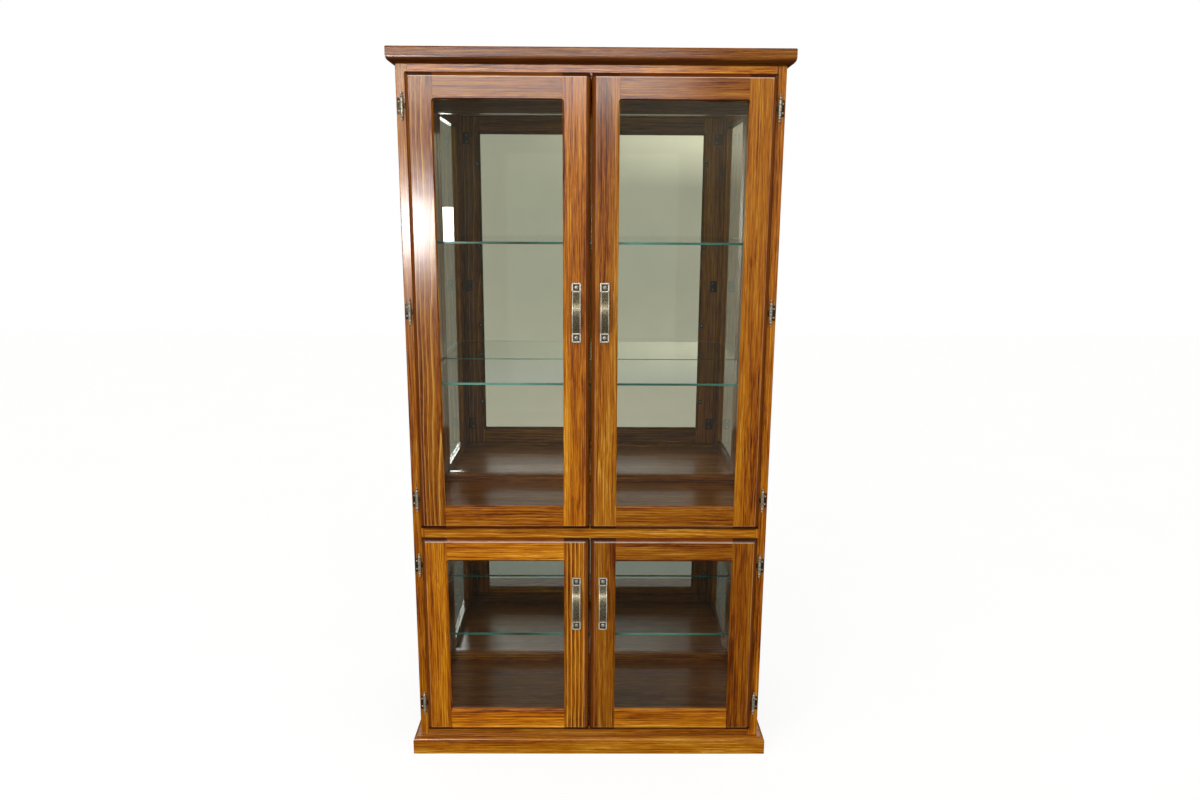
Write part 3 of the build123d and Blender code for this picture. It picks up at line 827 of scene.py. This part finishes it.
def finialProfile(end):
    tip = hinge["height"] / 2 + hinge["gap"] / 2
    shape = [
        (0.0, 0.0), (0.0026, 0.0), (0.0031, 0.0006), (0.0026, 0.0012), (0.0033, 0.0020), (0.0039, 0.0034),
        (0.0039, 0.0048), (0.0032, 0.0063), (0.0020, 0.0076), (0.0014, 0.0086), (0.0016, 0.0094),
        (0.0023, 0.0104), (0.0025, 0.0117), (0.0022, 0.0132), (0.0013, 0.0144), (0.0004, 0.0149),
        (0.0, 0.0150),
    ]
    return [(radius, end * (tip + height)) for radius, height in shape]


def hingeLevels(story):
    low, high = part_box(f"door_{story}_left_hinge_stile")
    levels = [low.z + hinge["inset"], high.z - hinge["inset"]]
    return levels + [(low.z + high.z) / 2] if story == "upper" else levels


def finialPair(bm):
    for end in (-1, 1):
        addTurned(bm, finialProfile(end), Vector())


def frameHalf(bm, seatY):
    # the leaf on the face frame with its two knuckles and two screws; the axis stands at the origin
    half, leafY = hinge["height"] / 2, seatY - hinge["leaf"]
    knuckle = hinge["height"] * hinge["knuckleShare"]
    addBox(bm, (hinge["frameStart"], leafY, -half), (hinge["frameReach"], seatY, half), hinge["leafEase"])
    for base in (-half, half - knuckle):
        addTurned(bm, barrelProfile(base, base + knuckle), Vector(), index=1)
    out, up = hinge["frameScrew"]
    for end in (-1, 1):
        spot = Vector((out, leafY + hinge["screwSink"], end * up))
        addTurned(bm, screwProfile(), spot, "-Y", 20, 1)


def doorHalf(bm, edgeX, lipY, rearY):
    # the leaf that comes round the lip's edge behind the door; edgeX is the web's outer side
    half, wrap = hinge["height"] / 2, hinge["wrap"]
    middle = half - hinge["height"] * hinge["knuckleShare"] - hinge["gap"]
    addTurned(bm, barrelProfile(-middle, middle), Vector(), index=1)
    tongue = (edgeX - hinge["overlap"], lipY - wrap, -middle)
    addBox(bm, tongue, (-hinge["doorStart"], lipY, middle), hinge["wrapEase"], 2)
    addBox(bm, (edgeX - wrap, lipY - wrap, -half), (edgeX, rearY + wrap, half), hinge["wrapEase"], 2)
    flap = (edgeX - hinge["doorReach"], rearY, -half)
    addBox(bm, flap, (edgeX - wrap * hinge["flapRoot"], rearY + wrap, half), hinge["doorEase"])
    inward, up = hinge["doorScrew"]
    for end in (-1, 1):
        spot = Vector((edgeX - inward, rearY + wrap - hinge["screwSink"], end * up))
        addTurned(bm, screwProfile(), spot, "Y", 20, 1)


def setIn(bm, spot, side, build, *sizes):
    # builds a part round the origin, turns it over for the left doors and moves it to its spot
    before = set(bm.verts)
    build(bm, *sizes)
    fresh = [v for v in bm.verts if v not in before]
    if side < 0:
        bmesh.ops.scale(bm, vec=(-1, 1, 1), verts=fresh)
    bmesh.ops.translate(bm, vec=spot, verts=fresh)


frameLeaves, pins = bmesh.new(), bmesh.new()
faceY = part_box("frame_stile_left")[0].y
hingeMetals = [hingeBrown, hingeBright]
for side, sign in (("left", -1), ("right", 1)):
    for story in ("upper", "lower"):
        door = f"door_{story}_{side}"
        axis = jointAt[door]
        doorLow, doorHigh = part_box(door + "_hinge_stile")
        edge = max(abs(doorLow.x), abs(doorHigh.x)) - abs(axis.x)
        webX = edge - hinge["lipWidth"] + hinge["wrapGap"] + hinge["wrap"]
        lipY = faceY - hinge["wrapGap"] - axis.y
        rearY = doorHigh.y + hinge["wrapGap"] - axis.y
        leaves = bmesh.new()
        for level in hingeLevels(story):
            spot = Vector((axis.x, axis.y, level))
            setIn(frameLeaves, spot, sign, frameHalf, faceY - axis.y)
            setIn(leaves, spot, sign, doorHalf, webX, lipY, rearY)
            setIn(pins, spot, sign, finialPair)
        replaced = [f"hinge_leaves_{story}_{side}"]
        finishPiece(f"leaves_{story}_{side}", leaves, hingeMetals, door, replaced)
finishPiece("frame_leaves", frameLeaves, hingeMetals, "cabinet", ["hinge_frame_leaves"])
finishPiece("hinge_finials", pins, [hingeBright], "cabinet", ["hinge_pins"])
print("hinges done")

# round clips that hold each pane in its rebate, on the doors' backs

clip = {
    "radius": 0.0078,
    "thickness": 0.0028,
    "seatShare": 0.8,  # how high the screw sits, as a share of the thickness
    "screw": 0.0034,
    "screwRise": 0.0014,
    "offEdge": 0.0035,
    "upperCount": 4,
    "lowerCount": 2,
    "upperInset": 0.105,
    "lowerInset": 0.09,
}


def paneClips(story, side):
    bm = bmesh.new()
    door = f"door_{story}_{side}"
    paneLow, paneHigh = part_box(door + "_glass")
    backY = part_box(door + "_hinge_stile")[1].y
    count, inset = clip[story + "Count"], clip[story + "Inset"]
    pitch = (paneHigh.z - paneLow.z - 2 * inset) / (count - 1)
    r, t, s, rise = clip["radius"], clip["thickness"], clip["screw"], clip["screwRise"]
    seat = clip["seatShare"] * t
    disc = [(0.0, 0.0), (r, 0.0), (r, 0.7 * t), (0.9 * r, t), (0.55 * r, t), (0.5 * r, seat), (0.0, seat)]
    head = [(0.0, 0.0), (s, 0.0), (0.85 * s, 0.0009), (0.45 * s, rise), (0.36 * s, 0.0008), (0.0, 0.0008)]
    for x in (paneLow.x - clip["offEdge"], paneHigh.x + clip["offEdge"]):
        for step in range(count):
            z = paneLow.z + inset + pitch * step
            addTurned(bm, disc, Vector((x, backY, z)), "Y", 24, 0)
            addTurned(bm, head, Vector((x, backY + seat, z)), "Y", 20, 1)
    finishPiece(f"pane_clips_{story}_{side}", bm, [clipBronze, hingeBright], door)


for story, side in doors:
    paneClips(story, side)
print("pane clips done")


# studio: a pale floor, a window and a tube lamp for the gloss, a soft key, and a plain room round it

studio = {
    "white": (1, 1, 1, 1),
    "wall": (0.44, 0.420, 0.325, 1),
    "wallLow": (0.54, 0.495, 0.390, 1),
    "wallRight": (0.98, 0.90, 0.68, 1),
    "ground": (0.16, 0.16, 0.125, 1),
    "sky": (0.50, 0.49, 0.47, 1),
    "beyond": (0.48, 0.47, 0.42, 1),
    "dusk": (0.03, 0.028, 0.018, 1),
    "pale": (0.14, 0.12, 0.065, 1),
    "soft": (0.42, 0.38, 0.27, 1),
    "lamps": (5.0, 4.7, 4.0, 1),
    "ceiling": (0.10, 0.09, 0.065, 1),
    "fill": (1.0, 0.99, 0.97, 1),
    "fillAround": 0.46,
    "fillFront": 0.92,
    "floorDark": (0.80, 0.80, 0.79, 1),
    "floorPale": (0.84, 0.84, 0.83, 1),
    "floorDim": (0.30, 0.29, 0.27, 1),
    "floorGlow": 1.16,
    "glowShare": 0.74,
}


def pathIs(tree, *names):
    path = addNode(tree, "LightPath")
    total = path.outputs[names[0]]
    for name in names[1:]:
        total = sums(tree, "MAXIMUM", total, path.outputs[name])
    return total


def skyOf(tree, colour, strength=1.0):
    return addNode(tree, "Background", {"Color": colour, "Strength": strength}).outputs[0]


def studioRamp(tree, level, stops):
    return rampOf(tree, level, [(position, studio[shade]) for position, shade in stops])


def roomWorld():
    # four looks of one room: white to the camera, soft frontal light to matt surfaces,
    # a lamp-lit room to the gloss, and the plain walls that the mirrors show through the glass
    world = bpy.data.worlds.new("studio_room")
    bpy.context.scene.world = world
    world.use_nodes = True
    world.cycles.sampling_method = "NONE"
    tree = world.node_tree
    direction = addNode(tree, "SeparateXYZ", {"Vector": addNode(tree, "TexCoord").outputs["Generated"]})
    height, side, depth = direction.outputs["Z"], direction.outputs["X"], direction.outputs["Y"]
    rightward = spread(tree, side, -0.10, 0.16, interpolation_type="SMOOTHSTEP")
    level = spread(tree, height, -0.4, 1.0)
    walls = [studioRamp(tree, level, [
        (0.069, "ground"), (0.091, "wallLow"), (0.240, "wall"), (0.309, "wall"),
        (0.343, wall), (0.39, wall), (0.42, "sky"), (1.0, "sky"),
    ]) for wall in ("wall", "wallRight")]
    mirrored = skyOf(tree, mixColour(tree, rightward, *walls))
    shine = skyOf(tree, studioRamp(tree, level, [
        (0.250, "dusk"), (0.300, "pale"), (0.430, "pale"), (0.520, "soft"), (0.605, "soft"),
        (0.628, "lamps"), (0.648, "lamps"), (0.675, "ceiling"), (1.0, "ceiling"),
    ]))
    ahead = sums(tree, "MAXIMUM", sums(tree, "MULTIPLY", depth, -1.0), 0.0)
    amount = sums(tree, "ADD", studio["fillAround"], sums(tree, "MULTIPLY", ahead, studio["fillFront"]))
    fill = skyOf(tree, studio["fill"], amount)
    beyond = skyOf(tree, studioRamp(tree, level, [(0.285, "beyond"), (0.325, "dusk")]))
    through = mixShaders(tree, sums(tree, "GREATER_THAN", depth, 0.0), mirrored, beyond)
    glassy = mixShaders(tree, pathIs(tree, "Is Transmission Ray"), shine, through)
    lit = mixShaders(tree, pathIs(tree, "Is Diffuse Ray"), glassy, fill)
    seen = mixShaders(tree, pathIs(tree, "Is Camera Ray"), lit, skyOf(tree, studio["white"]))
    tree.links.new(seen, tree.nodes["World Output"].inputs["Surface"])


def paleFloor():
    bm = bmesh.new()
    bmesh.ops.create_grid(bm, x_segments=2, y_segments=2, size=9.0)
    mesh = bpy.data.meshes.new("studio_floor")
    bm.to_mesh(mesh)
    bm.free()
    floor = bpy.data.objects.new("studio_floor", mesh)
    bpy.context.scene.collection.objects.link(floor)
    material, tree, shader = startMaterial("studio_floor_paint")
    coords = addNode(tree, "TexCoord")
    mottled = noise(tree, coords.outputs["Object"], 2.0, 3.0)
    colour = rampOf(tree, mottled, [(0.3, studio["floorDark"]), (0.7, studio["floorPale"])])
    feed(tree, shader, {"Base Color": colour, "Roughness": 0.8})
    dim = addNode(tree, "BsdfDiffuse", {"Color": studio["floorDim"]}).outputs[0]
    glow = addNode(tree, "Emission", {"Color": studio["white"], "Strength": studio["floorGlow"]}).outputs[0]
    clear = addNode(tree, "BsdfTransparent").outputs[0]
    lit = mixShaders(tree, studio["glowShare"], shader.outputs[0], glow)
    first = mixShaders(tree, pathIs(tree, "Is Camera Ray"), dim, lit)
    second = mixShaders(tree, pathIs(tree, "Is Glossy Ray", "Is Transmission Ray"), first, clear)
    tree.links.new(second, tree.nodes["Material Output"].inputs["Surface"])
    mesh.materials.append(material)


lamps = {
    "window": dict(
        spot=(-1.13, -3.5, 1.43), aim=(-0.6, 0.0, 1.4), size=(0.26, 0.24), watts=27.0, inMatt=False),
    "ceiling_tube": dict(
        spot=(-0.55, -3.5, 2.29), aim=(-0.3, 0.0, 1.9), size=(2.2, 0.08), watts=18.0,
        inMatt=False, inGlass=False),
    "key": dict(
        spot=(-1.7, -3.2, 2.1), aim=(0, 0, 0.8), size=(1.8, 1.8), watts=34.0, inGloss=False, inGlass=False),
}


def softPanel(name, spot, aim, size, watts, inGloss=True, inMatt=True, inGlass=True):
    light = bpy.data.lights.new(name, "AREA")
    light.shape = "RECTANGLE"
    light.size, light.size_y = size
    light.energy = watts
    lamp = bpy.data.objects.new(name, light)
    bpy.context.scene.collection.objects.link(lamp)
    lamp.location = spot
    lamp.rotation_euler = (Vector(aim) - Vector(spot)).to_track_quat("-Z", "Y").to_euler()
    lamp.visible_camera = False
    lamp.visible_glossy = inGloss
    lamp.visible_diffuse = inMatt
    lamp.visible_transmission = inGlass


roomWorld()
paleFloor()
for lampName, lampLook in lamps.items():
    softPanel(lampName, **lampLook)
print("studio done")

# camera: aimed down and a little to the right, and rolled

station = {"spot": (0.0072, -2.4500, 1.4824), "down": 11.744, "turn": 0.463, "roll": 0.317, "lens": 26.312}


def placeCamera():
    camera = bpy.data.objects.new("camera", bpy.data.cameras.new("camera"))
    bpy.context.scene.collection.objects.link(camera)
    camera.data.sensor_width = 36.0
    camera.data.lens = station["lens"]
    down, turn, roll = (math.radians(station[angle]) for angle in ("down", "turn", "roll"))
    forward = Vector((math.sin(turn) * math.cos(down), math.cos(turn) * math.cos(down), -math.sin(down)))
    aimed = forward.to_track_quat("-Z", "Y").to_matrix()
    camera.rotation_mode = "QUATERNION"
    camera.rotation_quaternion = (aimed @ Matrix.Rotation(roll, 3, "Z")).to_quaternion()
    camera.location = station["spot"]
    bpy.context.scene.camera = camera


placeCamera()
bpy.context.scene.view_settings.view_transform = "Standard"
print("camera done")
